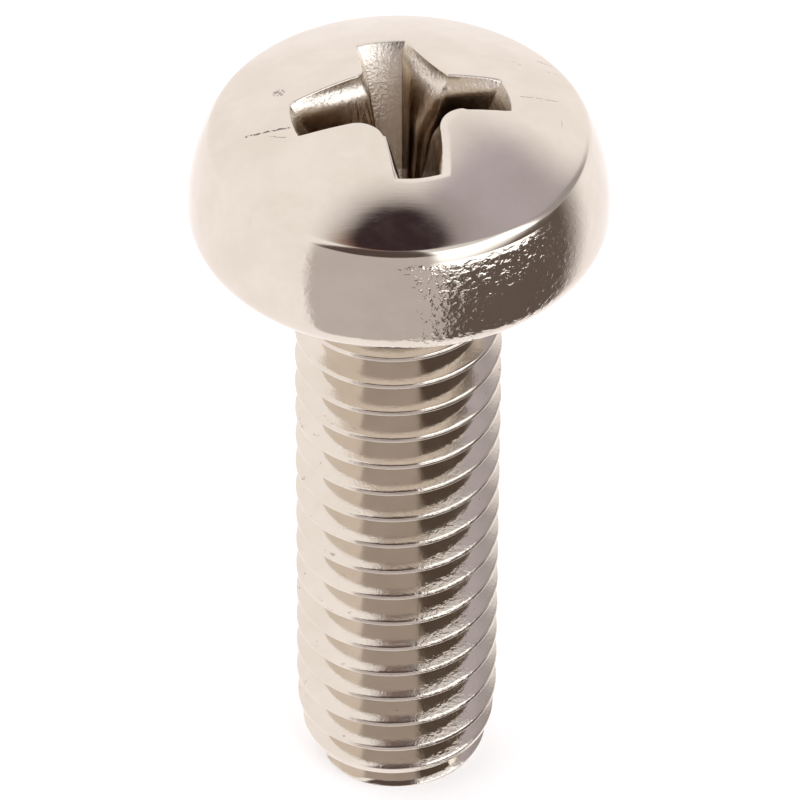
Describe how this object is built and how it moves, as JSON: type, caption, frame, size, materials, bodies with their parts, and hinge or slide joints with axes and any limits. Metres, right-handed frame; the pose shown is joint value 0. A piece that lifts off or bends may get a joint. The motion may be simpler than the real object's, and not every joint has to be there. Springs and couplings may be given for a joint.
{
  "type": "machine screw",
  "caption": "Pan head machine screw with a cross recess, threaded from the head to its flat end, standing on that end.",
  "frame": {"origin": "centre of the flat end that the screw stands on", "axes": "+Z along the screw's axis, from the flat end up to the head; the recess is turned 10 degrees about +Z"},
  "size_m": [0.006, 0.0058, 0.0119],
  "materials": {
    "nickel_plating": "bright nickel plating over cold-headed steel"
  },
  "bodies": {
    "root": {"machine_screw": "nickel_plating"}
  },
  "joints": []
}
